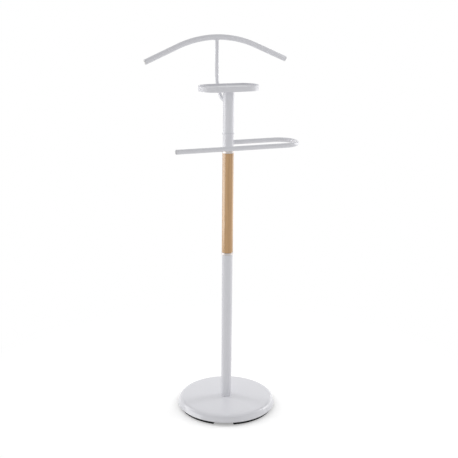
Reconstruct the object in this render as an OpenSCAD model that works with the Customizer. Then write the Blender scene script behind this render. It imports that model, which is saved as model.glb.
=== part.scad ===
// Valet stand: a weighted round base, a post screwed together from tubes and a turned wooden
// grip, a trouser bar, a change tray, and a coat hanger on a bent stem behind the tray.
// Z is up, X runs along the hanger and +Y is the back. The origin is on the floor under the post.

/* [Base] */
// Largest diameter of the base cover
base_d = 300; // [260:1:360]
// Height of the cover from its rim to its crown
cover_h = 20; // [18:0.5:24]
// Radius of the cover's rounded shoulder
edge_r = 13.5; // [8:0.5:18]
// Lean of the cover's side from upright, in degrees
side_lean = 22; // [10:1:30]
// Slope of the cover's top from the post seat to the rounded shoulder, in degrees
crown_slope = 0.6; // [0.2:0.1:1.2]
// Diameter of the flat seat under the post
seat_d = 44; // [40:1:60]
// Sheet thickness of the cover
sheet_t = 1.5; // [1:0.1:2.5]
// Thickness of the bottom plate
plate_t = 2; // [1.5:0.1:3]
// Distance from the edge of the base to the edge of the ballast disc
ballast_inset = 27; // [26:1:50]

/* [Feet] */
// Height of the rubber pads
pad_h = 10; // [5:0.5:12]
// Width of a pad, measured towards the post
pad_w = 13; // [8:0.5:20]
// Arc that each pad covers, in degrees
pad_arc = 66; // [40:1:70]
// Number of pads
pad_count = 4; // [3:1:5]
// Distance from the edge of the base to a pad
pad_inset = 7; // [4:0.5:15]
// Turn of the pads and the bottom plate about the post, in degrees
base_turn = -23.5; // [-45:0.5:45]

/* [Post] */
// Outer diameter of the post tubes
tube_d = 32; // [28:0.5:38]
// Wall of the post tubes
tube_t = 1.5; // [1:0.1:2.5]
// Length of the lower tube
lower_tube_l = 462.5; // [300:0.5:600]
// Length of the threaded plugs in the lower tube
long_plug_l = 22; // [18:1:30]
// Length of the threaded plugs in the bar tube and at the foot of the head tube
short_plug_l = 13; // [10:0.5:15]
// Thread diameter of the bolt that holds the post on the base
bolt_d = 10; // [8:1:12]
// Thread diameter of the studs that join the sections
stud_d = 8; // [6:1:10]
// Diameter of the shoulder on each stud
shoulder_d = 15; // [13:0.5:18]

/* [Grip] */
// Diameter of the wooden grip
grip_d = 34; // [30:0.5:40]
// Length of the wooden grip
grip_l = 302; // [200:1:400]
// Chamfer on the ends of the grip
grip_chamfer = 0.8; // [0.3:0.1:2]
// Diameter of the spacer rings at the ends of the grip
spacer_d = 35; // [33:0.5:42]
// Height of the spacer rings
spacer_h = 7; // [3:0.5:10]
// Diameter of the threaded inserts in the grip
insert_d = 14; // [13:0.5:18]
// Length of the threaded inserts
insert_l = 22; // [18:1:40]

/* [Trouser bar] */
// Diameter of the trouser bar
bar_d = 13.5; // [8:0.5:15]
// Wall of the trouser bar
bar_t = 1.5; // [1:0.1:2]
// Distance between the axes of its two legs
bar_gap = 95; // [60:1:140]
// Distance from the post axis to the middle of the bend
bar_reach = 144.5; // [80:0.5:200]
// Distance from the post axis to the free end of the front leg
bar_overhang = 188; // [60:1:220]
// Length of the tube that carries the bar
bar_tube_l = 46; // [44:1:80]
// Height of the joint ring above that tube
joint_ring_h = 6; // [3:0.5:10]
// Diameter of the joint ring
joint_ring_d = 35; // [34:0.5:44]

/* [Tray] */
// Length of the head tube
head_tube_l = 123; // [100:1:200]
// Length of the tray
tray_l = 180; // [140:1:240]
// Width of the tray
tray_w = 87; // [74:1:120]
// Depth of the tray inside its rim
tray_recess = 5; // [3:0.5:20]
// Wall of the tray
tray_wall = 3; // [2.4:0.1:4]
// Floor of the tray
tray_floor_t = 2.5; // [2:0.1:4]
// Thickness of the steel bracket under the tray
bracket_t = 3; // [2.5:0.1:5]
// Length of the bracket
bracket_l = 92; // [80:1:110]
// Width of the bracket
bracket_w = 42; // [38:1:56]

/* [Hanger] */
// Diameter of the hanger tube
hanger_d = 16; // [12:0.5:22]
// Wall of the hanger tube
hanger_t = 1.5; // [1:0.1:2]
// Radius of the hanger's middle curve
hanger_r = 304; // [200:1:400]
// Slope of the straight arms, in degrees
hanger_slope = 23.4; // [15:0.1:30]
// Length of each straight arm
hanger_arm = 106; // [60:1:140]
// Distance from the post axis back to the hanger
hanger_back = 100; // [90:1:130]
// Height of the hanger tube's axis above the foot of the stem
hanger_rise = 176.5; // [140:0.5:260]
// Diameter of the stem
stem_d = 11; // [6:0.5:12]
// Bend radius of the stem
stem_bend_r = 70; // [30:1:72]
// Height of the foot of the stem below the top of the head tube
stem_drop = 35; // [20:1:60]
// Thickness of the hanger's end caps outside the tube
cap_head = 2; // [1:0.1:4]

/* [Hidden] */
$fn = 120;

lacquer = "#b9bbc0";
lacquer_dark = "#a9abb1";
steel = "#9a9da1";
black = "#26272a";
rubber = "#1c1c1d";
iron = "#4d4f52";
beech = "#c4976a";
pale = "#dcdad5";

// Clearances
slip_gap = 0.05;    // radial, between a plug or an insert and its bore
thread_gap = 0.1;   // radial, between a screw and its hole
plate_gap = 1;      // between the bottom plate and the cover
ballast_gap = 0.6;  // between the ballast disc and the cover's top
bolt_clear = 0.5;   // radial, round the post bolt where it passes through
over = 1;           // how far a cutting shape runs past what it cuts
arc_steps = 24;     // straight steps in the arc of the cover's shoulder

// Fasteners
bolt_head_af = 1.7 * bolt_d;
bolt_head_h = 6.4;
washer_d = 2.2 * bolt_d;
washer_t = 2;
washer_round = 0.4;
spring_t = 2.2;
spring_w = 0.32 * bolt_d;
spring_split = 14;  // degrees
head_recess = 1;
bolt_grip_l = 19;   // length of the bolt inside the post
plate_screw_d = 5;
plate_screw_l = 11;
plate_screw_r = 84;
bracket_screw_d = 4;
bracket_screw_x = 31;
bracket_screw_y = 11;
stud_relief = 2;    // free depth past the end of a stud
head_shy = 0.3;     // how much flatter a countersunk head is than a full cone
insert_barb = 1;    // depth of the barbs on an insert

// Heights of the base, from the floor up
rim_z = pad_h;
crown_z = rim_z + cover_h;
seat_r = seat_d / 2;
// The shoulder's arc touches the sloping top and the leaning side, which ends at the rim
edge_x = (base_d / 2 * cos(side_lean) - edge_r
    - (cover_h + seat_r * tan(crown_slope) - edge_r / cos(crown_slope)) * sin(side_lean))
    / (cos(side_lean) - tan(crown_slope) * sin(side_lean));
edge_z = crown_z - (edge_x - seat_r) * tan(crown_slope) - edge_r / cos(crown_slope);
plate_top_z = rim_z + plate_t;
plate_r = side_x(sheet_t, plate_top_z) - plate_gap;
ballast_r = base_d / 2 - ballast_inset;
ballast_top_z = crown_z - sheet_t - (ballast_r - seat_r) * tan(crown_slope) - ballast_gap;
boss_margin = 3;    // width of the cover's seat outside the boss
boss_r = seat_r - boss_margin;
socket_room = 2;    // radial, round the washer, and again round the counterbore in the plate
counterbore_r = washer_d / 2 + socket_room;
counterbore_z = plate_top_z + head_recess + bolt_head_h + washer_t + spring_t;

// Heights of the post, section by section
lower_top_z = crown_z + lower_tube_l;
grip_z = lower_top_z + spacer_h;
grip_top_z = grip_z + grip_l;
bar_tube_z = grip_top_z + spacer_h;
bar_tube_top_z = bar_tube_z + bar_tube_l;
bar_z = bar_tube_z + bar_tube_l / 2;
head_z = bar_tube_top_z + joint_ring_h;
head_top_z = head_z + head_tube_l;
tube_r = tube_d / 2;
bore_r = tube_r - tube_t;
let_in = 3;         // how far a welded rod reaches inside the tube that holds it
bar_cap_head = 1.5;
bar_cap_plug_l = 10;
spacer_round = 0.8;
joint_ring_round = 1.3;

// Tray
skirt_hide = 1;     // how far the skirt hangs below the bracket
pad_under = 3;      // thickness of the seat moulded on the floor for the bracket
seat_margin = 3;    // width of that seat outside the bracket
tray_z = head_top_z - skirt_hide;
tray_floor_z = head_top_z + bracket_t + pad_under;
tray_floor_top_z = tray_floor_z + tray_floor_t;
tray_top_z = tray_floor_top_z + tray_recess;
blind_skin = 1;     // what the blind screw holes leave of the floor
tip_gap = 0.6;      // between the tip of a bracket screw and the end of its hole
rim_round = 1.1;
floor_fillet = 1.8;
rib_t = 2;
rib_h = 4;
rib_pitch = 21;

// Hanger
stem_z = head_top_z - stem_drop;
apex_z = stem_z + hanger_rise;
stem_top_z = apex_z - hanger_d / 2 + hanger_t + let_in;
cap_plug_l = 12;

// Round bar from the origin along +X
module bar_along_x(d, l) {
    rotate([0, 90, 0]) cylinder(d = d, h = l);
}

// Part of a ring of round bar about Z, from +X towards +Y
module bend(d, r, angle) {
    rotate_extrude(angle = angle) translate([r, 0]) circle(d = d);
}

// Disc about Z with a hole, whose outer edges are rounded
module soft_ring(d, hole_d, h, r) {
    rotate_extrude() difference() {
        union() {
            square([d / 2 - r, h]);
            translate([0, r]) square([d / 2, h - 2 * r]);
            for (z = [r, h - r]) translate([d / 2 - r, z]) circle(r);
        }
        translate([-over, -over]) square([hole_d / 2 + over, h + 2 * over]);
    }
}

// Flat shape with two straight sides and two round ends
module stadium(l, w) {
    square([l - w, w], center = true);
    for (side = [-1, 1]) translate([side * (l - w) / 2, 0]) circle(d = w);
}

// Carries a wall profile, drawn in distance from the middle line and height, round a stadium
module along_stadium(l, w) {
    half = (l - w) / 2;
    for (side = [-1, 1])
        translate([side * half, 0, 0]) rotate([0, 0, -90 * side])
            rotate_extrude(angle = 180) children();
    for (turn = [0, 180])
        rotate([0, 0, turn]) translate([-half, 0, 0]) rotate([90, 0, 90])
            linear_extrude(2 * half) children();
}

// Countersunk screw pointing up, with the flat of its head at the origin
module countersunk(d, l) {
    head_h = d / 2 - head_shy;
    difference() {
        union() {
            cylinder(r1 = d / 2 + head_h, r2 = d / 2, h = head_h);
            cylinder(d = d, h = l - d / 4);
            translate([0, 0, l - d / 4]) cylinder(r1 = d / 2, r2 = d / 4, h = d / 4);
        }
        translate([0, 0, -over]) cylinder(d = d * 0.75, h = over + head_h * 0.8, $fn = 6);
    }
}

// Room for the head and shank of that screw
module countersink(d, l) {
    head_h = d / 2 - head_shy;
    cylinder(r1 = d / 2 + head_h, r2 = d / 2, h = head_h);
    translate([0, 0, -over]) cylinder(r = d / 2 + head_h, h = over);
    cylinder(r = d / 2 + thread_gap, h = l);
}

// Places of the four bracket screws
module at_bracket_screws() {
    for (x = [-1, 1], y = [-1, 1])
        translate([x * bracket_screw_x, y * bracket_screw_y, head_top_z]) children();
}

// Places of the four bottom plate screws
module at_plate_screws() {
    for (turn = [0 : 3])
        rotate([0, 0, base_turn + 45 + 90 * turn]) translate([plate_screw_r, 0, rim_z]) children();
}

// Points of an arc, in degrees
function arc_points(x, z, r, from, to) =
    [for (i = [0 : arc_steps]) let (a = from + (to - from) * i / arc_steps) [x + r * cos(a), z + r * sin(a)]];

// Radius of the leaning side at a height, on a skin that is a given distance inwards
function side_x(inset, z) = let (r = edge_r - inset)
    edge_x + r * cos(side_lean) + (edge_z + r * sin(side_lean) - z) * tan(side_lean);

// Region under the cover's skin down to a height, the skin being a given distance inwards
module cover_profile(inset, low_z) {
    polygon(concat(
        [[0, low_z], [0, crown_z - inset], [seat_r, crown_z - inset]],
        arc_points(edge_x, edge_z, edge_r - inset, 90 - crown_slope, side_lean),
        [[side_x(inset, low_z), low_z]]
    ));
}

// Spun sheet cover: flat seat, shallow crown, rounded shoulder, leaning side
module base_cover() {
    color(lacquer) difference() {
        rotate_extrude($fn = 240) difference() {
            cover_profile(0, rim_z);
            cover_profile(sheet_t, rim_z - over);
        }
        translate([0, 0, crown_z - sheet_t - over])
            cylinder(r = bolt_d / 2 + bolt_clear, h = sheet_t + 2 * over);
    }
}

// Cast disc with a raised boss under the post and a counterbore for the bolt head
module ballast_disc() {
    chamfer = 1.5;
    color(iron) difference() {
        rotate_extrude($fn = 240) {
            polygon([
                [0, plate_top_z], [ballast_r - chamfer, plate_top_z], [ballast_r, plate_top_z + chamfer],
                [ballast_r, ballast_top_z - chamfer], [ballast_r - chamfer, ballast_top_z],
                [0, ballast_top_z],
            ]);
            translate([0, plate_top_z]) square([boss_r, crown_z - sheet_t - plate_top_z]);
        }
        translate([0, 0, plate_top_z - over]) cylinder(r = counterbore_r, h = counterbore_z - plate_top_z + over);
        cylinder(r = bolt_d / 2 + bolt_clear, h = crown_z);
        at_plate_screws() cylinder(r = plate_screw_d / 2 + thread_gap, h = plate_screw_l + stud_relief);
    }
}

// Black bottom plate with an access hole for the post bolt
module base_plate() {
    color(black) difference() {
        translate([0, 0, rim_z]) cylinder(r = plate_r, h = plate_t, $fn = 240);
        translate([0, 0, rim_z - over]) cylinder(r = counterbore_r + socket_room, h = plate_t + 2 * over);
        at_plate_screws() countersink(plate_screw_d, plate_t + over);
    }
}

module plate_screws() {
    color(steel) at_plate_screws() countersunk(plate_screw_d, plate_screw_l);
}

// Rubber arcs, chamfered where they meet the floor
module foot_pads() {
    outer = base_d / 2 - pad_inset;
    chamfer = 1.2;
    color(rubber) for (i = [0 : pad_count - 1])
        rotate([0, 0, base_turn + (i + 0.5) * 360 / pad_count - pad_arc / 2])
            rotate_extrude(angle = pad_arc, $fn = 240) polygon([
                [outer - pad_w + chamfer, 0], [outer - chamfer, 0], [outer, chamfer],
                [outer, pad_h], [outer - pad_w, pad_h], [outer - pad_w, chamfer],
            ]);
}

// Hex bolt from below, through the ballast and the cover into the post
module post_bolt() {
    seat_z = counterbore_z - washer_t - spring_t;
    top_z = crown_z + bolt_grip_l;
    tip = bolt_d / 10;
    color(steel) {
        difference() {
            translate([0, 0, seat_z - bolt_head_h])
                cylinder(d = bolt_head_af / cos(30), h = bolt_head_h, $fn = 6);
            translate([0, 0, seat_z - bolt_head_h - over]) difference() {
                cylinder(d = 2 * bolt_head_af, h = 2 * over);
                cylinder(d1 = bolt_head_af - 2 * over, d2 = bolt_head_af + 2 * over, h = 2 * over);
            }
        }
        translate([0, 0, seat_z]) cylinder(d = bolt_d, h = top_z - tip - seat_z);
        translate([0, 0, top_z - tip]) cylinder(d1 = bolt_d, d2 = bolt_d - 2 * tip, h = tip);
    }
}

module bolt_washer() {
    color(steel) translate([0, 0, counterbore_z - spring_t - washer_t])
        soft_ring(washer_d, bolt_d + 2 * bolt_clear, washer_t, washer_round);
}

// Spring washer, cut through on one side
module spring_washer() {
    inner = bolt_d / 2 + bolt_clear;
    color(steel) translate([0, 0, counterbore_z - spring_t])
        rotate([0, 0, spring_split / 2]) rotate_extrude(angle = 360 - spring_split)
            translate([inner, 0]) square([spring_w, spring_t]);
}

// Tube standing at a height
module post_tube(z, l) {
    translate([0, 0, z]) difference() {
        cylinder(r = tube_r, h = l);
        translate([0, 0, -over]) cylinder(r = bore_r, h = l + 2 * over);
    }
}

// Threaded plug inside a tube. Its mouth is at z and it reaches l up, or down if l is negative
module tube_plug(z, l, thread_d) {
    lead = 1;
    r = bore_r - slip_gap;
    translate([0, 0, z]) mirror([0, 0, l < 0 ? 1 : 0]) difference() {
        union() {
            cylinder(r = r, h = abs(l) - lead);
            translate([0, 0, abs(l) - lead]) cylinder(r1 = r, r2 = r - lead, h = lead);
        }
        translate([0, 0, -over]) cylinder(r = thread_d / 2 + thread_gap, h = abs(l) + 2 * over);
    }
}

// Stud with a shoulder that is clamped between two sections; its shoulder stands on z
module shouldered_stud(z, shoulder_h, down_l, up_l) {
    tip = stud_d / 8;
    translate([0, 0, z]) {
        soft_ring(shoulder_d, 0, shoulder_h, washer_round);
        for (end = [[0, down_l, 1], [shoulder_h, up_l, 0]])
            translate([0, 0, end[0]]) mirror([0, 0, end[2]]) {
                cylinder(d = stud_d, h = end[1] - tip);
                translate([0, 0, end[1] - tip]) cylinder(d1 = stud_d, d2 = stud_d - 2 * tip, h = tip);
            }
    }
}

// Threaded insert in the end of the grip; its mouth is at z and it reaches l up or down
module grip_insert(z, l) {
    collar_h = 2;
    translate([0, 0, z]) mirror([0, 0, l < 0 ? 1 : 0]) difference() {
        union() {
            cylinder(r = insert_d / 2 - slip_gap, h = collar_h);
            for (turn = [0 : 3])
                translate([0, 0, collar_h + turn * (abs(l) - collar_h) / 4])
                    cylinder(r1 = insert_d / 2 - insert_barb, r2 = insert_d / 2 - slip_gap, h = (abs(l) - collar_h) / 4);
        }
        translate([0, 0, -over]) cylinder(r = stud_d / 2 + thread_gap, h = abs(l) + 2 * over);
    }
}

module lower_tube() {
    color(lacquer) post_tube(crown_z, lower_tube_l);
}

module lower_tube_foot() {
    color(steel) tube_plug(crown_z, long_plug_l, bolt_d);
}

module lower_tube_head() {
    color(steel) tube_plug(lower_top_z, -long_plug_l, stud_d);
}

module lower_stud() {
    color(steel) shouldered_stud(lower_top_z, spacer_h, long_plug_l - stud_relief, insert_l - stud_relief);
}

module lower_ring() {
    color(pale) translate([0, 0, lower_top_z])
        soft_ring(spacer_d, shoulder_d + 2 * slip_gap, spacer_h, spacer_round);
}

// Turned grip, chamfered at both ends and bored for its inserts
module wood_grip() {
    r = grip_d / 2;
    color(beech) difference() {
        translate([0, 0, grip_z]) rotate_extrude() polygon([
            [0, 0], [r - grip_chamfer, 0], [r, grip_chamfer],
            [r, grip_l - grip_chamfer], [r - grip_chamfer, grip_l], [0, grip_l],
        ]);
        for (end = [[grip_z, 0], [grip_top_z, 1]])
            translate([0, 0, end[0]]) mirror([0, 0, end[1]]) translate([0, 0, -over])
                cylinder(d = insert_d, h = insert_l + stud_relief + over);
    }
}

module grip_insert_lower() {
    color(steel) grip_insert(grip_z, insert_l);
}

module grip_insert_upper() {
    color(steel) grip_insert(grip_top_z, -insert_l);
}

module upper_ring() {
    color(pale) translate([0, 0, grip_top_z])
        soft_ring(spacer_d, shoulder_d + 2 * slip_gap, spacer_h, spacer_round);
}

module upper_stud() {
    color(steel) shouldered_stud(grip_top_z, spacer_h, insert_l - stud_relief, short_plug_l);
}

// Short tube with a hole in its side that the trouser bar is welded into
module bar_tube() {
    color(lacquer) difference() {
        post_tube(bar_tube_z, bar_tube_l);
        translate([0, 0, bar_z]) bar_along_x(bar_d, tube_d);
    }
}

module bar_tube_foot() {
    color(steel) tube_plug(bar_tube_z, short_plug_l, stud_d);
}

module bar_tube_head() {
    color(steel) tube_plug(bar_tube_top_z, -short_plug_l, stud_d);
}

// Path of the trouser bar: rear leg, half-round bend, front leg
module bar_path(d, past) {
    start = bore_r - let_in - past;
    translate([start, 0, bar_z]) bar_along_x(d, bar_reach - start);
    translate([bar_reach, -bar_gap / 2, bar_z]) rotate([0, 0, -90]) bend(d, bar_gap / 2, 180);
    translate([-bar_overhang - past, -bar_gap, bar_z]) bar_along_x(d, bar_reach + bar_overhang + past);
}

module trouser_bar() {
    color(lacquer_dark) difference() {
        bar_path(bar_d, 0);
        bar_path(bar_d - 2 * bar_t, over);
    }
}

// End cap for a tube that ends at the origin and points up: a round head and a barbed plug
module tube_cap(d, wall, head, plug_l) {
    bore = d / 2 - wall - slip_gap;
    round_r = head * 0.45;
    barb = plug_l / 4;
    barb_depth = 0.8;
    rotate_extrude() {
        square([d / 2, head - round_r]);
        square([d / 2 - round_r, head]);
        translate([d / 2 - round_r, head - round_r]) circle(round_r);
    }
    for (i = [1 : 3])
        translate([0, 0, -i * barb]) cylinder(r1 = bore - barb_depth, r2 = bore, h = barb);
    translate([0, 0, -plug_l]) cylinder(r1 = bore - 2 * barb_depth, r2 = bore - barb_depth, h = barb);
}

module trouser_bar_cap() {
    color(lacquer_dark) translate([-bar_overhang, -bar_gap, bar_z]) rotate([0, -90, 0])
        tube_cap(bar_d, bar_t, bar_cap_head, bar_cap_plug_l);
}

module joint_ring() {
    color(lacquer) translate([0, 0, bar_tube_top_z])
        soft_ring(joint_ring_d, shoulder_d + 2 * slip_gap, joint_ring_h, joint_ring_round);
}

module joint_stud() {
    color(steel) shouldered_stud(bar_tube_top_z, joint_ring_h, short_plug_l, short_plug_l);
}

// Head tube with a hole in its back that the stem is welded into
module head_tube() {
    color(lacquer) difference() {
        post_tube(head_z, head_tube_l);
        translate([0, 0, stem_z]) rotate([0, 0, 90]) bar_along_x(stem_d, tube_d);
    }
}

module head_tube_foot() {
    color(steel) tube_plug(head_z, short_plug_l, stud_d);
}

// Plate on top of the head tube that the tray is screwed to
module tray_bracket() {
    color(steel) difference() {
        translate([0, 0, head_top_z]) linear_extrude(bracket_t) stadium(bracket_l, bracket_w);
        at_bracket_screws() countersink(bracket_screw_d, bracket_t + over);
    }
}

module bracket_screws() {
    color(steel) at_bracket_screws()
        countersunk(bracket_screw_d, bracket_t + pad_under + tray_floor_t - blind_skin - tip_gap);
}

// Moulded tray: rounded rim, recessed floor with a filleted corner, skirt, and ribs beneath
module tray() {
    half_w = tray_w / 2;
    inner = half_w - tray_wall;
    seat_l = bracket_l + 2 * seat_margin;
    seat_w = bracket_w + 2 * seat_margin;
    color(lacquer) difference() {
        union() {
            along_stadium(tray_l, tray_w) tray_wall_profile(half_w, inner);
            translate([0, 0, tray_floor_z]) linear_extrude(tray_floor_t)
                stadium(tray_l - 2 * tray_wall + over, tray_w - 2 * tray_wall + over);
            translate([0, 0, tray_floor_z - pad_under]) linear_extrude(pad_under + over)
                stadium(seat_l, seat_w);
            translate([0, 0, tray_floor_z - rib_h]) linear_extrude(rib_h + over) difference() {
                intersection() {
                    stadium(tray_l - 2 * tray_wall + over, tray_w - 2 * tray_wall + over);
                    tray_ribs();
                }
                stadium(seat_l - over, seat_w - over);
            }
        }
        at_bracket_screws() cylinder(r = bracket_screw_d / 2 + thread_gap,
            h = bracket_t + pad_under + tray_floor_t - blind_skin);
    }
}

module tray_wall_profile(outer, inner) {
    difference() {
        union() {
            translate([inner, tray_z]) square([tray_wall, tray_top_z - tray_z - rim_round]);
            translate([inner + rim_round, tray_z]) square([tray_wall - 2 * rim_round, tray_top_z - tray_z]);
            for (x = [inner + rim_round, outer - rim_round])
                translate([x, tray_top_z - rim_round]) circle(rim_round);
            translate([inner - floor_fillet, tray_floor_top_z - over / 2])
                square([floor_fillet + over / 2, floor_fillet + over / 2]);
        }
        translate([inner - floor_fillet, tray_floor_top_z + floor_fillet]) circle(floor_fillet);
    }
}

// Ribs under the floor: one lengthwise, and cross ribs at an even pitch on both sides
module tray_ribs() {
    square([tray_l, rib_t], center = true);
    for (side = [-1, 1], i = [0 : 3])
        translate([side * (i + 0.5) * rib_pitch, 0]) square([rib_t, tray_w], center = true);
}

// Path of the stem: out of the head tube, quarter bend, straight up
module hanger_stem() {
    start = bore_r - let_in;
    straight = hanger_back - stem_bend_r - start;
    color(lacquer) {
        translate([0, start, stem_z]) rotate([0, 0, 90]) bar_along_x(stem_d, straight);
        translate([0, hanger_back - stem_bend_r, stem_z + stem_bend_r])
            rotate([90, 0, 90]) rotate([0, 0, -90]) bend(stem_d, stem_bend_r, 90);
        translate([0, hanger_back, stem_z + stem_bend_r])
            cylinder(d = stem_d, h = stem_top_z - stem_z - stem_bend_r);
    }
}

// The hanger's own plane: its curve is centred on the origin, with its top on +Y
module in_hanger_plane() {
    translate([0, hanger_back, apex_z - hanger_r]) rotate([90, 0, 0]) children();
}

// A place on each straight arm, a given distance out from the curve, with +Z pointing outwards
module on_arms(along) {
    for (side = [-1, 1])
        rotate([0, 0, 90 + side * hanger_slope])
            translate([hanger_r, side * along, 0]) rotate([-90 * side, 0, 0]) children();
}

// Path of the hanger: shallow curve and two straight arms
module hanger_path(d, past) {
    rotate([0, 0, 90 - hanger_slope]) bend(d, hanger_r, 2 * hanger_slope);
    on_arms(0) cylinder(d = d, h = hanger_arm + past);
}

// Bent tube with a hole in its underside that the stem is welded into
module hanger_bar() {
    color(lacquer_dark) difference() {
        in_hanger_plane() hanger_path(hanger_d, 0);
        in_hanger_plane() hanger_path(hanger_d - 2 * hanger_t, over);
        translate([0, hanger_back, apex_z - hanger_d]) cylinder(d = stem_d, h = hanger_d);
    }
}

module hanger_caps() {
    color(pale) in_hanger_plane() on_arms(hanger_arm)
        tube_cap(hanger_d, hanger_t, cap_head, cap_plug_l);
}

base_cover();
ballast_disc();
base_plate();
plate_screws();
foot_pads();
post_bolt();
bolt_washer();
spring_washer();
lower_tube();
lower_tube_foot();
lower_tube_head();
lower_stud();
lower_ring();
wood_grip();
grip_insert_lower();
grip_insert_upper();
upper_ring();
upper_stud();
bar_tube();
bar_tube_foot();
bar_tube_head();
trouser_bar();
trouser_bar_cap();
joint_ring();
joint_stud();
head_tube();
head_tube_foot();
tray_bracket();
bracket_screws();
tray();
hanger_stem();
hanger_bar();
hanger_caps();
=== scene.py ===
"""Valet stand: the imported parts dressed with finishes, on a pale studio floor."""
from math import cos, pi, radians, sin, tan

import bpy
from mathutils import Matrix, Vector


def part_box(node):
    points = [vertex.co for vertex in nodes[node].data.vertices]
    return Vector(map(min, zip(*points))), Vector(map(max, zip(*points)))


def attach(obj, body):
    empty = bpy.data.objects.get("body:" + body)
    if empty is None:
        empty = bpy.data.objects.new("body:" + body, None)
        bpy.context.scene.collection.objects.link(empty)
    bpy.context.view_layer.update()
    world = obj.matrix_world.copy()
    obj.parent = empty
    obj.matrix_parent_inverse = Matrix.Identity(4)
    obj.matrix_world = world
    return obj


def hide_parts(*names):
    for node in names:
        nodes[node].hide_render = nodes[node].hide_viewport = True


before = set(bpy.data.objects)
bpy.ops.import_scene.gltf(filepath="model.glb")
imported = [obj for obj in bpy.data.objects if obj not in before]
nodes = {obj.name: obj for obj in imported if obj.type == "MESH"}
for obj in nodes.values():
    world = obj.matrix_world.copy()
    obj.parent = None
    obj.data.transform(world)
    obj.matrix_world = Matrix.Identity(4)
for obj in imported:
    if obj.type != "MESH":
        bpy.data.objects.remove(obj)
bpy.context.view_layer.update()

bpy.ops.object.select_all(action="DESELECT")
scene = bpy.context.scene
scene.view_settings.view_transform = "Standard"


# ---------------------------------------------------------------- camera
CAMERA_ROUND = -20.70     # degrees round the post, from the front
CAMERA_AWAY = 2.5851      # metres from the post axis
CAMERA_HIGH = 1.3033
CAMERA_DOWN = 15.825      # pitch below the horizon
CAMERA_TURN = -0.100      # turn off the line to the post
CAMERA_ROLL = 0.508
LENS_MM = 70.85
SENSOR_MM = 36.0


def place_camera():
    data = bpy.data.cameras.new("camera")
    data.lens, data.sensor_width = LENS_MM, SENSOR_MM
    data.clip_end = 100
    camera = bpy.data.objects.new("camera", data)
    scene.collection.objects.link(camera)
    heading = radians(CAMERA_ROUND + CAMERA_TURN)
    ahead = Vector((-sin(heading), cos(heading), 0))
    right = Vector((cos(heading), sin(heading), 0))
    down, roll = radians(CAMERA_DOWN), radians(CAMERA_ROLL)
    sight = ahead * cos(down) - Vector((0, 0, 1)) * sin(down)
    up = ahead * sin(down) + Vector((0, 0, 1)) * cos(down)
    side, top = right * cos(roll) + up * sin(roll), up * cos(roll) - right * sin(roll)
    turn = Matrix((side, top, -sight)).transposed().to_4x4()
    stand = radians(CAMERA_ROUND)
    spot = Vector((sin(stand), -cos(stand), 0)) * CAMERA_AWAY + Vector((0, 0, CAMERA_HIGH))
    camera.matrix_world = Matrix.Translation(spot) @ turn
    scene.camera = camera


# ---------------------------------------------------------------- node helpers
def put(tree, kind, sets=None, feeds=None, **settings):
    """Adds a node, with its settings, its plain input values and what feeds its inputs."""
    node = tree.nodes.new(kind)
    for name, value in settings.items():
        setattr(node, name, value)
    for name, value in (sets or {}).items():
        node.inputs[name].default_value = value
    for name, source in (feeds or {}).items():
        tree.links.new(source, node.inputs[name])
    return node


def new_material(name):
    material = bpy.data.materials.new(name)
    material.use_nodes = True
    tree = material.node_tree
    tree.nodes.clear()
    return material, tree


def new_group(name, inputs, outputs):
    """An empty node group: each input is a name and its default, each output a name and its kind."""
    tree = bpy.data.node_groups.new(name, "ShaderNodeTree")
    for label, value in inputs:
        kind = "NodeSocketFloat" if isinstance(value, (int, float)) else (
            "NodeSocketVector" if len(value) == 3 else "NodeSocketColor")
        socket = tree.interface.new_socket(name=label, in_out="INPUT", socket_type=kind)
        socket.default_value = value
    for label, kind in outputs:
        tree.interface.new_socket(name=label, in_out="OUTPUT", socket_type=kind)
    return tree, tree.nodes.new("NodeGroupInput").outputs, tree.nodes.new("NodeGroupOutput").inputs


# ---------------------------------------------------------------- stage
FLOOR_RADIUS = 6.0
FLOOR_KEEPS_SHADOW = 0.9      # metres from the post over which the floor still shows shadow
FLOOR_LIFT = 0.29             # light added to the floor for the camera, so that it ends up white
SKY_TILT = (0, radians(3.5), 0)
SKY_LEVEL = 0.65              # soft light from all round
SKY_BEHIND = 0.18             # how much more of it comes from behind than from the front
SKY_TURN = 40                 # degrees by which its bright side is turned to the left
SKY_HIGH = 0.03               # how much more comes from overhead
SKY_LOW = 0.25                # and how much more from near the horizon
STUDIO_BACK, STUDIO_STRIP, STUDIO_FRONT, STUDIO_TOP = 1.0, 0.80, 0.15, 0.40
LEFT_WATTS, RIGHT_WATTS = 8.5, 11
LEFT_HIGH, RIGHT_HIGH = 1.40, 1.30
LEFT_WIDE, RIGHT_WIDE, SOFTBOX_TALL = 0.8, 0.7, 1.2
SOFTBOX_ROUND, SOFTBOX_AWAY = 113, 1.9  # degrees round from the camera, and metres from the post
LEFT_CARD, RIGHT_CARD = 11, 4
LEFT_CARD_ROUND, RIGHT_CARD_ROUND = -86, 125
CARD_AWAY, CARD_WIDE = 1.7, 1.9
CARD_HIGH, CARD_TALL = 0.40, 0.76   # low, for the edges of the post; from the sides the base mirrors them


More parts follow.
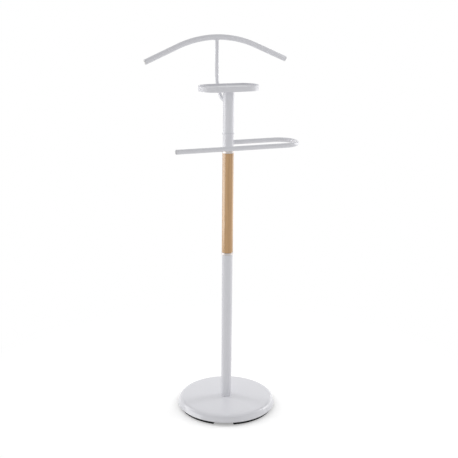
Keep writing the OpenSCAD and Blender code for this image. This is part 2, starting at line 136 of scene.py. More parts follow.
def white_floor():
    """Diffuse floor whose own light fills it up to white for the camera and in reflections."""
    material, tree = new_material("studio_floor")
    place = put(tree, "ShaderNodeTexCoord")
    away = put(tree, "ShaderNodeVectorMath", feeds={0: place.outputs["Object"]}, operation="LENGTH")
    far = put(tree, "ShaderNodeMapRange",
              {"From Min": FLOOR_KEEPS_SHADOW * 0.5, "From Max": FLOOR_KEEPS_SHADOW},
              {"Value": away.outputs["Value"]}, interpolation_type="SMOOTHSTEP")
    path = put(tree, "ShaderNodeLightPath")
    seen = put(tree, "ShaderNodeMath", operation="MAXIMUM",
               feeds={0: path.outputs["Is Camera Ray"], 1: path.outputs["Is Glossy Ray"]})
    lift = put(tree, "ShaderNodeMath", {1: FLOOR_LIFT}, {0: seen.outputs[0]}, operation="MULTIPLY")
    plain = put(tree, "ShaderNodeBsdfDiffuse", {"Color": (0.88, 0.88, 0.88, 1)})
    glow = put(tree, "ShaderNodeEmission", {"Color": (1, 1, 1, 1)}, {"Strength": lift.outputs[0]})
    near = put(tree, "ShaderNodeAddShader", feeds={0: plain.outputs[0], 1: glow.outputs[0]})
    white = put(tree, "ShaderNodeEmission", {"Color": (1, 1, 1, 1), "Strength": 1.0})
    mask = put(tree, "ShaderNodeMath", feeds={0: far.outputs[0], 1: seen.outputs[0]}, operation="MULTIPLY")
    mix = put(tree, "ShaderNodeMixShader",
              feeds={0: mask.outputs[0], 1: near.outputs[0], 2: white.outputs[0]})
    put(tree, "ShaderNodeOutputMaterial", feeds={"Surface": mix.outputs[0]})
    return material


def build_stage():
    bpy.ops.mesh.primitive_circle_add(vertices=96, radius=FLOOR_RADIUS, fill_type="NGON")
    floor = bpy.context.object
    floor.name = "studio_floor"
    floor.data.materials.append(white_floor())
    floor.select_set(False)


def soft_sky(tree, direction):
    """Level of the soft light: more from behind and the left, from overhead and from near the horizon."""
    back = radians(CAMERA_ROUND + SKY_TURN)
    lean = (-sin(back) * SKY_BEHIND, cos(back) * SKY_BEHIND, SKY_HIGH)
    slope = put(tree, "ShaderNodeVectorMath", {1: lean}, {0: direction}, operation="DOT_PRODUCT")
    height = put(tree, "ShaderNodeSeparateXYZ", feeds={0: direction})
    depth = put(tree, "ShaderNodeMath", {0: 1.0}, {1: height.outputs["Z"]}, operation="SUBTRACT")
    low = put(tree, "ShaderNodeMath", {1: 4.0}, {0: depth.outputs[0]}, operation="POWER")
    level = put(tree, "ShaderNodeMath", {1: SKY_LOW}, {0: low.outputs[0], 2: slope.outputs["Value"]},
                operation="MULTIPLY_ADD")
    total = put(tree, "ShaderNodeMath", {1: SKY_LEVEL}, {0: level.outputs[0]}, operation="ADD")
    return put(tree, "ShaderNodeMath", {1: 0.02}, {0: total.outputs[0]}, operation="MAXIMUM").outputs[0]


def light_world():
    """Even soft light, a white surround for the camera, and a studio with a dark strip for reflections."""
    world = bpy.data.worlds.new("studio")
    scene.world = world
    world.use_nodes = True
    tree = world.node_tree
    tree.nodes.clear()
    path = put(tree, "ShaderNodeLightPath")
    place = put(tree, "ShaderNodeTexCoord")
    turned = put(tree, "ShaderNodeMapping", {"Rotation": SKY_TILT}, {"Vector": place.outputs["Generated"]})
    height = put(tree, "ShaderNodeSeparateXYZ", feeds={0: turned.outputs[0]})
    studio = put(tree, "ShaderNodeValToRGB", feeds={"Fac": height.outputs["Z"]})
    stops = studio.color_ramp.elements
    for place_at, tone in ((0.0, 1.0), (0.30, STUDIO_BACK), (0.430, STUDIO_BACK),
                           (0.452, STUDIO_STRIP), (0.468, STUDIO_STRIP),
                           (0.50, STUDIO_FRONT), (0.85, STUDIO_FRONT), (0.999, STUDIO_TOP)):
        stop = stops.new(place_at)
        stop.color = (tone, tone, tone, 1)
    stops.remove(stops[0])
    stops.remove(stops[len(stops) - 1])
    soft = put(tree, "ShaderNodeBackground", {"Color": (1, 1, 1, 1)},
               {"Strength": soft_sky(tree, place.outputs["Generated"])})
    mirrored = put(tree, "ShaderNodeBackground", {"Strength": 1.0}, {"Color": studio.outputs["Color"]})
    white = put(tree, "ShaderNodeBackground", {"Color": (1, 1, 1, 1), "Strength": 1.0})
    seen = put(tree, "ShaderNodeMath", operation="MAXIMUM",
               feeds={0: path.outputs["Is Camera Ray"], 1: path.outputs["Is Transmission Ray"]})
    glossy = put(tree, "ShaderNodeMixShader",
                 feeds={0: path.outputs["Is Glossy Ray"], 1: soft.outputs[0], 2: mirrored.outputs[0]})
    mix = put(tree, "ShaderNodeMixShader",
              feeds={0: seen.outputs[0], 1: glossy.outputs[0], 2: white.outputs[0]})
    put(tree, "ShaderNodeOutputWorld", feeds={"Surface": mix.outputs[0]})


def softbox(name, round_deg, away, high, wide, tall, watts, aim_high=0.55):
    """A large area lamp round the post from the camera's side, turned to a point on the post."""
    data = bpy.data.lights.new(name, "AREA")
    data.shape, data.size, data.size_y, data.energy = "RECTANGLE", wide, tall, watts
    lamp = bpy.data.objects.new(name, data)
    scene.collection.objects.link(lamp)
    a = radians(CAMERA_ROUND + round_deg)
    lamp.location = (sin(a) * away, -cos(a) * away, high)
    lamp.rotation_euler = (lamp.location - Vector((0, 0, aim_high))).to_track_quat("Z", "Y").to_euler()
    return lamp


def light_stage():
    """Two softboxes behind the post's sides, and two low panels that only show as reflections."""
    softbox("left_softbox", -SOFTBOX_ROUND, SOFTBOX_AWAY, LEFT_HIGH, LEFT_WIDE, SOFTBOX_TALL, LEFT_WATTS)
    softbox("right_softbox", SOFTBOX_ROUND, SOFTBOX_AWAY, RIGHT_HIGH, RIGHT_WIDE, SOFTBOX_TALL, RIGHT_WATTS)
    for name, round_deg, watts in (("left_card", LEFT_CARD_ROUND, LEFT_CARD),
                                   ("right_card", RIGHT_CARD_ROUND, RIGHT_CARD)):
        card = softbox(name, round_deg, CARD_AWAY, CARD_HIGH, CARD_WIDE, CARD_TALL, watts,
                       aim_high=CARD_HIGH)
        card.visible_diffuse = False


# ---------------------------------------------------------------- shared surface effects
def use(tree, group, sets=None, feeds=None):
    """Places one of the shared effects in a material, with its own values."""
    return put(tree, "ShaderNodeGroup", sets, feeds, node_tree=group).outputs


def skin_effect():
    """Fine unevenness of a sprayed coat, a moulding or a casting."""
    tree, given, result = new_group("surface_skin", [("Scale", 400.0), ("Detail", 2.0)],
                                    [("Height", "NodeSocketFloat")])
    place = put(tree, "ShaderNodeTexCoord")
    skin = put(tree, "ShaderNodeTexNoise",
               feeds={"Vector": place.outputs["Object"], "Scale": given["Scale"], "Detail": given["Detail"]})
    tree.links.new(skin.outputs["Fac"], result["Height"])
    return tree


def tone_effect():
    """Slow drift between two tones of one colour, with a fine fleck in it."""
    tree, given, result = new_group(
        "tone_drift", [("Light", (1.0, 1.0, 1.0, 1.0)), ("Dark", (0.9, 0.9, 0.9, 1.0)),
                       ("Drift Scale", 9.0), ("Fleck Scale", 700.0), ("Fleck Share", 0.3)],
        [("Color", "NodeSocketColor")])
    place = put(tree, "ShaderNodeTexCoord")
    drift = put(tree, "ShaderNodeTexNoise", {"Detail": 3.0},
                {"Vector": place.outputs["Object"], "Scale": given["Drift Scale"]})
    fleck = put(tree, "ShaderNodeTexNoise", {"Detail": 1.0},
                {"Vector": place.outputs["Object"], "Scale": given["Fleck Scale"]})
    both = put(tree, "ShaderNodeMix", feeds={"Factor": given["Fleck Share"], "A": drift.outputs["Fac"],
                                             "B": fleck.outputs["Fac"]}, data_type="FLOAT")
    spread = put(tree, "ShaderNodeMapRange", {"From Min": 0.36, "From Max": 0.64},
                 {"Value": both.outputs["Result"]})
    mixed = put(tree, "ShaderNodeMixRGB", feeds={"Fac": spread.outputs[0], "Color1": given["Dark"],
                                                 "Color2": given["Light"]})
    tree.links.new(mixed.outputs[0], result["Color"])
    return tree


def marks_effect():
    """Roughness that wanders a little, as wiping and handling leave it."""
    tree, given, result = new_group(
        "handling_marks", [("Roughness", 0.2), ("Spread", 0.03), ("Scale", 14.0)],
        [("Roughness", "NodeSocketFloat")])
    place = put(tree, "ShaderNodeTexCoord")
    wipe = put(tree, "ShaderNodeTexNoise", {"Detail": 5.0, "Roughness": 0.6, "Distortion": 0.6},
               {"Vector": place.outputs["Object"], "Scale": given["Scale"]})
    centred = put(tree, "ShaderNodeMath", {1: 0.5}, {0: wipe.outputs["Fac"]}, operation="SUBTRACT")
    swing = put(tree, "ShaderNodeMath", {1: 4.0}, {0: centred.outputs[0]}, operation="MULTIPLY")
    total = put(tree, "ShaderNodeMath", operation="MULTIPLY_ADD",
                feeds={0: swing.outputs[0], 1: given["Spread"], 2: given["Roughness"]})
    held = put(tree, "ShaderNodeMath", {1: 0.03}, {0: total.outputs[0]}, operation="MAXIMUM")
    tree.links.new(held.outputs[0], result["Roughness"])
    return tree


def dust_effect():
    """A thin veil of dust and a few specks on what faces up."""
    tree, given, result = new_group(
        "settled_dust", [("Color", (0.5, 0.5, 0.5, 1.0)), ("Dust", (0.6, 0.58, 0.55, 1.0)),
                         ("Amount", 0.1), ("Roughness", 0.2)],
        [("Color", "NodeSocketColor"), ("Roughness", "NodeSocketFloat")])
    place = put(tree, "ShaderNodeTexCoord")
    facing = put(tree, "ShaderNodeSeparateXYZ",
                 feeds={0: put(tree, "ShaderNodeNewGeometry").outputs["Normal"]})
    up = put(tree, "ShaderNodeMapRange", {"From Min": 0.25, "From Max": 1.0},
             {"Value": facing.outputs["Z"]})
    veil = put(tree, "ShaderNodeTexNoise", {"Scale": 30.0, "Detail": 4.0},
               {"Vector": place.outputs["Object"]})
    speck = put(tree, "ShaderNodeTexNoise", {"Scale": 1100.0, "Detail": 1.0},
                {"Vector": place.outputs["Object"]})
    specks = put(tree, "ShaderNodeMapRange", {"From Min": 0.70, "From Max": 0.78},
                 {"Value": speck.outputs["Fac"]})
    lying = put(tree, "ShaderNodeMath", {1: 0.5}, {0: veil.outputs["Fac"], 2: specks.outputs[0]},
                operation="MULTIPLY_ADD")
    thick = put(tree, "ShaderNodeMath", feeds={0: lying.outputs[0], 1: up.outputs[0]}, operation="MULTIPLY")
    mask = put(tree, "ShaderNodeMath", feeds={0: thick.outputs[0], 1: given["Amount"]}, operation="MULTIPLY",
               use_clamp=True)
    mixed = put(tree, "ShaderNodeMixRGB", feeds={"Fac": mask.outputs[0], "Color1": given["Color"],
                                                 "Color2": given["Dust"]})
    dull = put(tree, "ShaderNodeMath", {1: 0.6}, {0: mask.outputs[0], 2: given["Roughness"]},
               operation="MULTIPLY_ADD")
    tree.links.new(mixed.outputs[0], result["Color"])
    tree.links.new(dull.outputs[0], result["Roughness"])
    return tree


def lathe_effect():
    """Fine lines that a lathe leaves round the post's axis."""
    tree, given, result = new_group("turned_lines", [("Lines", 2500.0)], [("Height", "NodeSocketFloat")])
    place = put(tree, "ShaderNodeTexCoord")
    level = put(tree, "ShaderNodeVectorMath", {1: (0.002, 0.002, 1.0)}, {0: place.outputs["Object"]},
                operation="MULTIPLY")
    lines = put(tree, "ShaderNodeTexNoise", {"Detail": 3.0, "Roughness": 0.7},
                {"Vector": level.outputs[0], "Scale": given["Lines"]})
    tree.links.new(lines.outputs["Fac"], result["Height"])
    return tree


def scratch_effect():
    """Sparse hairlines that keys and coins leave, in two directions."""
    tree, given, result = new_group("hairlines", [("Scale", 170.0), ("Amount", 0.5)],
                                    [("Mask", "NodeSocketFloat")])
    place = put(tree, "ShaderNodeTexCoord")
    sets = []
    for turn, stretch in ((0.5, 0.025), (-0.9, 0.035)):
        laid = put(tree, "ShaderNodeMapping", {"Rotation": (0, 0, turn), "Scale": (1, stretch, 1)},
                   {"Vector": place.outputs["Object"]})
        ridge = put(tree, "ShaderNodeTexNoise", {"Detail": 1.0},
                    {"Vector": laid.outputs[0], "Scale": given["Scale"]})
        off = put(tree, "ShaderNodeMath", {1: 0.5}, {0: ridge.outputs["Fac"]}, operation="SUBTRACT")
        near = put(tree, "ShaderNodeMath", feeds={0: off.outputs[0]}, operation="ABSOLUTE")
        thin = put(tree, "ShaderNodeMapRange",
                   {"From Min": 0.0, "From Max": 0.010, "To Min": 1.0, "To Max": 0.0},
                   {"Value": near.outputs[0]})
        patch = put(tree, "ShaderNodeTexNoise", {"Scale": 220.0, "Detail": 0.0},
                    {"Vector": laid.outputs[0]})
        here = put(tree, "ShaderNodeMapRange", {"From Min": 0.52, "From Max": 0.60},
                   {"Value": patch.outputs["Fac"]})
        sets.append(put(tree, "ShaderNodeMath", operation="MULTIPLY",
                        feeds={0: thin.outputs[0], 1: here.outputs[0]}))
    both = put(tree, "ShaderNodeMath", operation="MAXIMUM",
               feeds={0: sets[0].outputs[0], 1: sets[1].outputs[0]})
    share = put(tree, "ShaderNodeMath", operation="MULTIPLY",
                feeds={0: both.outputs[0], 1: given["Amount"]})
    tree.links.new(share.outputs[0], result["Mask"])
    return tree


SKIN, TONE, MARKS, DUST, LATHE, HAIRLINES = (
    make() for make in (skin_effect, tone_effect, marks_effect, dust_effect, lathe_effect, scratch_effect))


# ---------------------------------------------------------------- finishes
HAIRLINE_TONE = (0.45, 0.45, 0.46, 1)


def close_finish(material, tree, color, roughness, height, depth, strength=1.0, **plain):
    """Ends a material: its bump and its shader, whose plain values are set on the shader itself."""
    bump = put(tree, "ShaderNodeBump", {"Strength": strength, "Distance": depth}, {"Height": height})
    sets = {label.replace("_", " ").title().replace("Ior", "IOR"): value for label, value in plain.items()}
    shader = put(tree, "ShaderNodeBsdfPrincipled", sets,
                 {"Base Color": color, "Roughness": roughness, "Normal": bump.outputs[0]})
    put(tree, "ShaderNodeOutputMaterial", feeds={"Surface": shader.outputs[0]})
    return material


def coated(name, light, dark, rough, spread, skin_scale, depth,
           dust=0.0, scratched=0.0, detail=2.0, **plain):
    """Sprayed, moulded or cast surface: drifting tone, wandering gloss, fine skin and dust."""
    material, tree = new_material(name)
    tone = use(tree, TONE, {"Light": (*light, 1), "Dark": (*dark, 1)})["Color"]
    gloss = use(tree, MARKS, {"Roughness": rough, "Spread": spread})["Roughness"]
    if scratched:
        lines = use(tree, HAIRLINES, {"Amount": scratched})["Mask"]
        gloss = put(tree, "ShaderNodeMath", {1: 0.5}, {0: lines, 2: gloss},
                    operation="MULTIPLY_ADD").outputs[0]
        tone = put(tree, "ShaderNodeMixRGB", {"Color2": HAIRLINE_TONE},
                   {"Fac": lines, "Color1": tone}).outputs[0]
    veiled = use(tree, DUST, {"Amount": dust}, {"Color": tone, "Roughness": gloss})
    skin = use(tree, SKIN, {"Scale": skin_scale, "Detail": detail})["Height"]
    return close_finish(material, tree, veiled["Color"], veiled["Roughness"], skin, depth, **plain)


def turned_metal(name, light, dark, rough, lines):
    """Bare turned metal: lines round the axis, mottled tone and a satin gloss."""
    material, tree = new_material(name)
    tone = use(tree, TONE, {"Light": (*light, 1), "Dark": (*dark, 1), "Drift Scale": 60.0,
                            "Fleck Share": 0.45})["Color"]
    gloss = use(tree, MARKS, {"Roughness": rough, "Spread": 0.05, "Scale": 40.0})["Roughness"]
    cut = use(tree, LATHE, {"Lines": lines})["Height"]
    return close_finish(material, tree, tone, gloss, cut, 0.00003, metallic=1.0)


def beech():
    """Varnished beech turned along the grain: growth bands, fibres, ray flecks and a clear gloss coat."""
    material, tree = new_material("beech")
    place = put(tree, "ShaderNodeTexCoord")

    def along(across, up, turn=0.35):
        return put(tree, "ShaderNodeMapping",
                   {"Rotation": (0.012, 0.02, turn), "Scale": (across, across, up)},
                   {"Vector": place.outputs["Object"]}).outputs[0]

    bands = put(tree, "ShaderNodeTexWave",
                {"Scale": 1.0, "Distortion": 7.0, "Detail": 2.0, "Detail Scale": 0.55},
                {"Vector": along(75, 2.6)}, wave_type="BANDS", bands_direction="X", wave_profile="SAW")
    fibres = put(tree, "ShaderNodeTexNoise", {"Scale": 1.0, "Detail": 3.0, "Roughness": 0.65},
                 {"Vector": along(620, 11)})
    streaks = put(tree, "ShaderNodeTexNoise", {"Scale": 1.0, "Detail": 2.0}, {"Vector": along(170, 4)})
    cells = put(tree, "ShaderNodeTexVoronoi", {"Scale": 1.0}, {"Vector": along(900, 210)})
    inside = put(tree, "ShaderNodeMapRange",
                 {"From Min": 0.16, "From Max": 0.34, "To Min": 1.0, "To Max": 0.0},
                 {"Value": cells.outputs["Distance"]})
    picked = put(tree, "ShaderNodeSeparateColor", feeds={0: cells.outputs["Color"]})
    some = put(tree, "ShaderNodeMapRange", {"From Min": 0.45, "From Max": 0.7},
               {"Value": picked.outputs[0]})
    flecks = put(tree, "ShaderNodeMath", operation="MULTIPLY",
                 feeds={0: inside.outputs[0], 1: some.outputs[0]})
    banded = put(tree, "ShaderNodeMath", {1: 0.34}, {0: bands.outputs["Fac"]}, operation="MULTIPLY")
    grain = put(tree, "ShaderNodeMath", {1: 0.45}, {0: fibres.outputs["Fac"], 2: banded.outputs[0]},
                operation="MULTIPLY_ADD")
    figure = put(tree, "ShaderNodeMath", {1: 0.65}, {0: streaks.outputs["Fac"], 2: grain.outputs[0]},
                 operation="MULTIPLY_ADD")
    tones = put(tree, "ShaderNodeValToRGB", feeds={"Fac": figure.outputs[0]})
    stops = tones.color_ramp.elements
    stops[0].position, stops[0].color = 0.48, (0.67, 0.383, 0.145, 1)
    stops[1].position, stops[1].color = 1.0, (0.345, 0.174, 0.050, 1)
    middle = stops.new(0.73)
    middle.color = (0.545, 0.294, 0.095, 1)
    flecked = put(tree, "ShaderNodeMath", {1: 0.55}, {0: flecks.outputs[0]}, operation="MULTIPLY")
    color = put(tree, "ShaderNodeMixRGB", {"Color2": (0.36, 0.17, 0.06, 1)},
                {"Fac": flecked.outputs[0], "Color1": tones.outputs["Color"]})
    gloss = use(tree, MARKS, {"Roughness": 0.36, "Spread": 0.05, "Scale": 30.0})["Roughness"]
    raised = put(tree, "ShaderNodeMath", operation="SUBTRACT",
                 feeds={0: fibres.outputs["Fac"], 1: flecks.outputs[0]})
    return close_finish(material, tree, color.outputs[0], gloss, raised.outputs[0], 0.00002,
                        coat_weight=1.0, coat_roughness=0.14, coat_ior=1.65)


WHITE, WHITE_DEEP = (0.789, 0.790, 0.826), (0.772, 0.773, 0.811)
finishes = {
    "lacquer": coated("lacquer", WHITE, WHITE_DEEP, 0.10, 0.012, 420.0, 0.000004, dust=0.06),
    "tray_lacquer": coated("tray_lacquer", WHITE, WHITE_DEEP, 0.30, 0.02, 900.0, 0.000008,
                           dust=0.08, scratched=0.12),
    "beech": beech(),
    "spacer_metal": turned_metal("spacer_metal", (0.66, 0.62, 0.60), (0.57, 0.53, 0.51), 0.34, 2600.0),
    "cap_pale": coated("cap_pale", (0.830, 0.826, 0.820), (0.770, 0.766, 0.760), 0.42, 0.03, 2200.0, 0.00002,
                       dust=0.05),
    "cap_grey": coated("cap_grey", (0.53, 0.53, 0.55), (0.46, 0.46, 0.48), 0.42, 0.03, 2200.0, 0.00002,
                       dust=0.05),
    "pad_rubber": coated("pad_rubber", (0.014, 0.014, 0.015), (0.008, 0.008, 0.009), 0.62, 0.05,
                         1500.0, 0.00005, dust=0.25, detail=4.0, specular_ior_level=0.12),
    "black_sheet": coated("black_sheet", (0.024, 0.024, 0.026), (0.016, 0.016, 0.018), 0.42, 0.04,
                          1300.0, 0.00003, scratched=0.05, detail=3.0),
    "cast_iron": coated("cast_iron", (0.095, 0.092, 0.090), (0.055, 0.055, 0.058), 0.72, 0.06, 380.0, 0.0004,
                        dust=0.2, detail=6.0),
    "zinc_steel": turned_metal("zinc_steel", (0.64, 0.65, 0.67), (0.44, 0.46, 0.50), 0.34, 1400.0),
}


def dress_nodes():
    for node in nodes.values():
        for slot in node.material_slots:
            slot.material = finishes[slot.material.name.split(".")[0]]


# ---------------------------------------------------------------- making pieces
EASE = 0.0004             # what a lathe or a press leaves on an edge
COVER_SHEET, COVER_SEAT, COVER_BORE = 0.0015, 0.022, 0.0055
CROWN_SLOPE, SIDE_LEAN, SHOULDER = radians(0.6), radians(22), 0.0135
PAD_WIDTH, PAD_ARC, PAD_TURN = 0.013, radians(66), radians(-23.5)
RING_BORE = 0.0076
STEM_BEND = 0.070
HANGER_RADIUS, HANGER_SLOPE, HANGER_ARM = 0.304, radians(23.4), 0.106
TUBE_WALL = 0.0016        # with the room that a plug needs
RAIL_LET_IN = 0.0115      # how far from the post's axis the trouser bar starts
RAIL_PLUG, HANGER_PLUG, HANGER_CAP_HEAD = 0.010, 0.012, 0.002
WELD_GAP = 0.0004         # between a rod and the ring that its bead is laid on


def corners_of(node):
    """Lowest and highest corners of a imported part."""
    low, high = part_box(node)
    return Vector(low), Vector(high)


def book(piece, name, slot, *replaced, smooth_deg=35):
    """Rests a finished piece at the origin, gives it its finish, hangs it on the root body and hides the
    parts it replaces.
    """
    bpy.ops.object.transform_apply(location=True, rotation=True, scale=True)
    bpy.ops.object.shade_smooth_by_angle(angle=radians(smooth_deg))
    piece.name = piece.data.name = name
    piece.data.materials.clear()
    piece.data.materials.append(finishes[slot])
    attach(piece, "root")
    if replaced:
        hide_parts(*replaced)
    piece.select_set(False)
    return piece


def close_up():
    """Merges doubles and turns every face of the mesh being edited outwards."""
    bpy.ops.mesh.select_all(action="SELECT")
    bpy.ops.mesh.remove_doubles(threshold=0.000002)
    bpy.ops.mesh.normals_make_consistent(inside=False)
    bpy.ops.object.mode_set(mode="OBJECT")
    return bpy.context.object


def rounded(profile, radius=EASE, steps=4):
    """Rounds the corners of a closed profile of (distance, height) points.

    A point's third number is that corner's own size."""
    points = []
    for i, (r, z, *own) in enumerate(profile):
        size = own[0] if own else radius
        here, before = Vector((r, z)), Vector(profile[i - 1][:2])
        after = Vector(profile[(i + 1) % len(profile)][:2])
        if not size:
            points.append(here)
            continue
        back, ahead = before - here, after - here
        reach = min(size / tan(back.angle(ahead) / 2), back.length / 2, ahead.length / 2)
        start, end = here + back.normalized() * reach, here + ahead.normalized() * reach
        for step in range(steps + 1):
            t = step / steps
            points.append(start * (1 - t) ** 2 + here * 2 * t * (1 - t) + end * t * t)
    return points


def turn_ring(profile, sides=96):
    """Turns a closed profile on the lathe: a circle is drawn out from point to point and meets itself."""
    r, z = profile[0]
    bpy.ops.mesh.primitive_circle_add(vertices=sides, radius=r, enter_editmode=True)
    bpy.ops.transform.translate(value=(0, 0, z))
    for next_r, next_z in [*profile[1:], profile[0]]:
        bpy.ops.mesh.extrude_edges_move(TRANSFORM_OT_translate={"value": (0, 0, next_z - z)})
        bpy.ops.transform.resize(value=(next_r / r, next_r / r, 1), center_override=(0, 0, next_z))
        r, z = next_r, next_z


def turn_solid(profile, sides=96):
    """Turns an open profile whose two ends are closed by flat faces across the axis."""
    r, z = profile[0]
    bpy.ops.mesh.primitive_circle_add(vertices=sides, radius=r, fill_type="NGON", enter_editmode=True)
    bpy.ops.transform.translate(value=(0, 0, z))
    for next_r, next_z in profile[1:]:
        bpy.ops.mesh.extrude_region_move(TRANSFORM_OT_translate={"value": (0, 0, next_z - z)})
        bpy.ops.transform.resize(value=(next_r / r, next_r / r, 1), center_override=(0, 0, next_z))
        r, z = next_r, next_z


# ---------------------------------------------------------------- base
def make_cover():
    """Spun sheet cover: pressed seat, shallow crown, rounded shoulder, leaning side and rolled lip."""
    low, high = corners_of("base_cover")
    rim, crown, radius, sheet = low.z, high.z, high.x, COVER_SHEET
    seat, slope, lean, shoulder = COVER_SEAT, CROWN_SLOPE, SIDE_LEAN, SHOULDER
    drop = crown - rim + seat * tan(slope) - shoulder / cos(slope)
    hip = (radius * cos(lean) - shoulder - drop * sin(lean)) / (cos(lean) - tan(slope) * sin(lean))
    hip_z = crown - (hip - seat) * tan(slope) - shoulder / cos(slope)

    def skin(inset, foot):
        """Outer or inner skin, from the seat outwards and down to its foot."""
        r = shoulder - inset
        points = [(seat - 0.0012, crown - inset), (seat + 0.0012, crown - inset - 0.0012 * tan(slope))]
        points += [(seat + (hip - seat) * t, crown - inset - (hip - seat) * t * tan(slope))
                   for t in (0.33, 0.66)]
        for step in range(19):
            a = pi / 2 - slope + (lean - pi / 2 + slope) * step / 18
            points.append((hip + r * cos(a), hip_z + r * sin(a)))
        side = hip + r * cos(lean) + (hip_z + r * sin(lean) - foot) * tan(lean)
        return points + [(side, foot)]

    lip = sheet / 2
    outer, inner = skin(0, rim + lip), skin(sheet, rim + lip)
    middle = (outer[-1][0] + inner[-1][0]) / 2
    roll = [(middle + lip * cos(a), rim + lip - lip * sin(a)) for a in (pi * s / 8 for s in range(1, 8))]
    profile = [(COVER_BORE, crown)] + outer + roll + inner[::-1] + [(COVER_BORE, crown - sheet)]
    turn_ring(profile, sides=192)
    book(close_up(), "cover", "lacquer", "base_cover", smooth_deg=40)


def make_pads():
    """Four rubber arcs with eased edges, each swept round the post."""
    high = corners_of("foot_pads")[1]
    outer, inner, top = high.x, high.x - PAD_WIDTH, high.z
    for count in range(4):
        start = PAD_TURN + (count + 0.5) * pi / 2 - PAD_ARC / 2
        middle = ((outer + inner) / 2, 0, top / 2)
        bpy.ops.mesh.primitive_plane_add(size=1, enter_editmode=True, location=middle,
                                         rotation=(pi / 2, 0, 0))
        bpy.ops.transform.resize(value=(outer - inner, 1, top), center_override=middle)
        bpy.ops.mesh.spin(steps=44, angle=-PAD_ARC, center=(0, 0, 0), axis=(0, 0, 1))
        pad = close_up()
        bpy.ops.object.transform_apply(location=True, rotation=True, scale=True)
        pad.rotation_euler.z = start
        bpy.ops.object.transform_apply(rotation=True)
        ease = pad.modifiers.new("eased", "BEVEL")
        ease.width, ease.segments, ease.limit_method, ease.angle_limit = 0.0012, 3, "ANGLE", radians(50)
        bpy.ops.object.modifier_apply(modifier=ease.name)
        book(pad, "pad_%d" % (count + 1), "pad_rubber", *(["foot_pads"] if count == 0 else []))


# ---------------------------------------------------------------- post
def make_grip():
    """Turned grip with chamfered ends."""
    low, high = corners_of("wood_grip")
    r, chamfer = high.x, 0.0008
    profile = [(r - 0.0024, low.z), (r - chamfer, low.z), (r, low.z + chamfer)]
    profile += [(r, low.z + (high.z - low.z) * t) for t in (0.25, 0.5, 0.75)]
    profile += [(r, high.z - chamfer), (r - chamfer, high.z), (r - 0.0024, high.z)]
    turn_solid(profile, sides=128)
    book(close_up(), "grip", "beech", "wood_grip", smooth_deg=25)


def make_spacer(name, node):
    """Turned ring with rounded edges and two fine lines cut round it."""
    low, high = corners_of(node)
    r, bore, h = high.x, RING_BORE, high.z - low.z
    line, deep = 0.0005, 0.00025
    outside = [(r, low.z, 0.0008)]
    for at in (0.26, 0.74):
        z = low.z + h * at
        outside += [(r, z - line, 0), (r - deep, z - line / 3, 0),
                    (r - deep, z + line / 3, 0), (r, z + line, 0)]
    outside += [(r, high.z, 0.0008)]
    profile = rounded([(bore, low.z, 0.0003), *outside, (bore, high.z, 0.0003)])
    turn_ring(profile, sides=128)
    book(close_up(), name, "spacer_metal", node, smooth_deg=30)


def make_joint_collar():
    """Rounded collar between the bar tube and the head tube."""
    low, high = corners_of("joint_ring")
    r, slant = high.x, 0.0009
    profile = rounded([(RING_BORE, low.z, 0.0003), (r - slant, low.z, EASE), (r, low.z + slant, 0.0008),
                       (r, high.z - slant, 0.0008), (r - slant, high.z, EASE), (RING_BORE, high.z, 0.0003)])
    turn_ring(profile, sides=128)
    book(close_up(), "joint_collar", "lacquer", "joint_ring", smooth_deg=50)


# ---------------------------------------------------------------- trouser bar, stem and hanger
def start_rod(radius, spot, turn, sides=40):
    """First face of a round bar, looking along its way."""
    bpy.ops.mesh.primitive_circle_add(vertices=sides, radius=radius, fill_type="NGON", location=spot,
                                      rotation=turn, enter_editmode=True)


def run_on(way, pieces=1):
    for _ in range(pieces):
        bpy.ops.mesh.extrude_region_move(TRANSFORM_OT_translate={"value": tuple(Vector(way) / pieces)})


def bend_round(centre, axis, angle, steps):
    bpy.ops.mesh.spin(steps=steps, angle=angle, center=centre, axis=axis)


def ease_ends(width=EASE):
    """Takes the sharp edge off the two ends of a rod."""
    rod = bpy.context.object
    ease = rod.modifiers.new("eased", "BEVEL")
    ease.width, ease.segments, ease.limit_method, ease.angle_limit = width, 3, "ANGLE", radians(60)
    bpy.ops.object.modifier_apply(modifier=ease.name)
    return rod


def make_trouser_bar():
    low, high = corners_of("trouser_bar")
    r = (high.z - low.z) / 2
    z, front = low.z + r, low.y + r
    back = 0.0
    bend = (back - front) / 2
    reach = high.x - r - bend
    start_rod(r, (RAIL_LET_IN, back, z), (0, pi / 2, 0))
    run_on((reach - RAIL_LET_IN, 0, 0), 3)
    bend_round((reach, (back + front) / 2, z), (0, 0, 1), pi, 36)
    run_on((low.x - reach, 0, 0), 6)
    close_up()
    book(ease_ends(), "trouser_rail", "lacquer", "trouser_bar")


def make_stem():
    low, high = corners_of("hanger_stem")
    r = (high.x - low.x) / 2
    z, back, bend = low.z + r, high.y - r, STEM_BEND
    start_rod(r, (0, low.y, z), (pi / 2, 0, 0), sides=36)
    run_on((0, back - bend - low.y, 0))
    bend_round((0, back - bend, z + bend), (1, 0, 0), -pi / 2, 20)
    run_on((0, 0, high.z - z - bend), 2)
    close_up()
    book(bpy.context.object, "stem_rod", "lacquer", "hanger_stem")


def hanger_shape():
    """The hanger tube's own radius and the centre of its curve."""
    low, high = corners_of("hanger_bar")
    r = (high.y - low.y) / 2
    return r, Vector((0, high.y - r, high.z - r - HANGER_RADIUS))


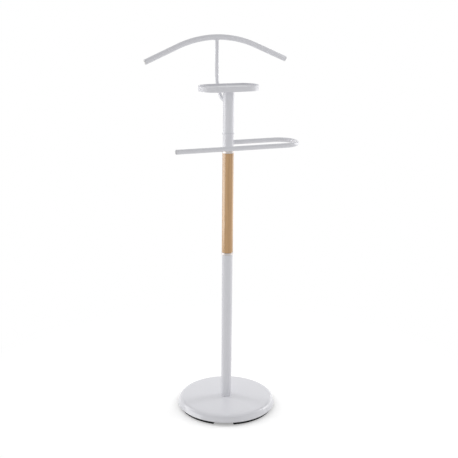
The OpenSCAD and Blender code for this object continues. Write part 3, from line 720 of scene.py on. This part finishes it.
def make_hanger():
    """Half of the bent tube is drawn out from its middle, and the other half is its mirror image."""
    r, centre = hanger_shape()
    start_rod(r, centre + Vector((0, 0, HANGER_RADIUS)), (0, pi / 2, 0), sides=48)
    bpy.ops.mesh.delete(type="ONLY_FACE")
    bpy.ops.mesh.select_all(action="SELECT")
    bend_round(centre, (0, 1, 0), -HANGER_SLOPE, 20)
    way = Vector((cos(HANGER_SLOPE), 0, -sin(HANGER_SLOPE))) * HANGER_ARM / 3
    for _ in range(3):
        bpy.ops.mesh.extrude_edges_move(TRANSFORM_OT_translate={"value": tuple(way)})
    bpy.ops.mesh.edge_face_add()
    half = close_up()
    bpy.ops.object.transform_apply(location=True, rotation=True, scale=True)
    other = half.modifiers.new("other_half", "MIRROR")
    other.use_axis = (True, False, False)
    other.merge_threshold = 0.00001
    bpy.ops.object.modifier_apply(modifier=other.name)
    bpy.ops.object.mode_set(mode="EDIT")
    close_up()
    book(ease_ends(), "hanger_tube", "lacquer", "hanger_bar")


def cap_profile(r, head, plug_r, plug_l):
    """Domed head with a soft edge, a fine step where it meets the tube, and a plug."""
    crown = [(r * sin(a), head * (0.55 + 0.45 * cos(a) ** 0.7)) for a in map(radians, range(70, 0, -10))]
    points = [(plug_r * 0.9, -plug_l), (plug_r, -plug_l * 0.8), (plug_r, 0.00005), (r - 0.0003, 0.00005),
              (r, 0.00035), (r, head * 0.45), (r * 0.985, head * 0.62)]
    return points + crown + [(r * 0.02, head)]


def place_cap(name, slot, profile, spot, out, replaced):
    """Turns a cap about its own axis and sets it on the end of a tube, looking out."""
    turn_solid(profile, sides=48)
    cap = close_up()
    cap.matrix_world = Matrix.Translation(spot) @ Vector(out).to_track_quat("Z", "Y").to_matrix().to_4x4()
    book(cap, name, slot, *replaced, smooth_deg=50)


def make_caps():
    low = corners_of("trouser_bar_cap")[0]
    bar_low, bar_high = corners_of("trouser_bar")
    r = (bar_high.z - bar_low.z) / 2
    spot = Vector((bar_low.x, bar_low.y + r, bar_low.z + r))
    place_cap("rail_cap", "cap_grey", cap_profile(r, bar_low.x - low.x, r - TUBE_WALL, RAIL_PLUG), spot,
              (-1, 0, 0), ["trouser_bar_cap"])
    r, centre = hanger_shape()
    for side, name in ((-1, "hanger_cap_left"), (1, "hanger_cap_right")):
        bend_end = centre + Vector((side * sin(HANGER_SLOPE), 0, cos(HANGER_SLOPE))) * HANGER_RADIUS
        out = Vector((side * cos(HANGER_SLOPE), 0, -sin(HANGER_SLOPE)))
        spot = bend_end + out * HANGER_ARM
        place_cap(name, "cap_pale", cap_profile(r, HANGER_CAP_HEAD, r - TUBE_WALL, HANGER_PLUG), spot,
                  out, ["hanger_caps"] if side < 0 else [])


def lay_weld(name, on_node, ring_r, spot, turn, toward, bead=0.0011):
    """A bead laid where a rod meets a tube: a ring is pressed onto the tube and given its thickness."""
    bpy.ops.mesh.primitive_circle_add(vertices=40, radius=ring_r, location=spot, rotation=turn)
    ring = bpy.context.object
    bpy.ops.object.transform_apply(location=True, rotation=True, scale=True)
    press = ring.modifiers.new("pressed", "SHRINKWRAP")
    press.target = nodes[on_node]
    press.wrap_method = "PROJECT"
    for axis in "xyz":
        setattr(press, "use_project_" + axis, axis == toward[-1])
    press.use_negative_direction = toward[0] == "-"
    press.use_positive_direction = toward[0] == "+"
    bpy.ops.object.modifier_apply(modifier=press.name)
    bpy.ops.object.convert(target="CURVE")
    curve = bpy.context.object.data
    curve.bevel_depth, curve.bevel_resolution = bead, 3
    bpy.ops.object.convert(target="MESH")
    bpy.ops.object.mode_set(mode="EDIT")
    book(close_up(), name, "lacquer", smooth_deg=60)


def make_welds():
    bar_low, bar_high = corners_of("trouser_bar")
    r = (bar_high.z - bar_low.z) / 2
    lay_weld("rail_weld", "bar_tube", r + WELD_GAP, (0.03, 0, bar_low.z + r), (0, pi / 2, 0), "-x")
    stem_low, stem_high = corners_of("hanger_stem")
    r = (stem_high.x - stem_low.x) / 2
    lay_weld("stem_weld_low", "head_tube", r + WELD_GAP, (0, 0.03, stem_low.z + r), (pi / 2, 0, 0), "-y")
    hanger_high = corners_of("hanger_bar")[1]
    below_bar = (0, stem_high.y - r, hanger_high.z - 0.03)
    lay_weld("stem_weld_high", "hanger_bar", r + WELD_GAP, below_bar, (0, 0, 0), "+z")


def make_pieces():
    make_cover()
    make_pads()
    make_grip()
    make_spacer("spacer_low", "lower_ring")
    make_spacer("spacer_high", "upper_ring")
    make_joint_collar()
    make_trouser_bar()
    make_stem()
    make_hanger()
    make_caps()
    make_welds()


place_camera()
build_stage()
light_world()
light_stage()
dress_nodes()
make_pieces()
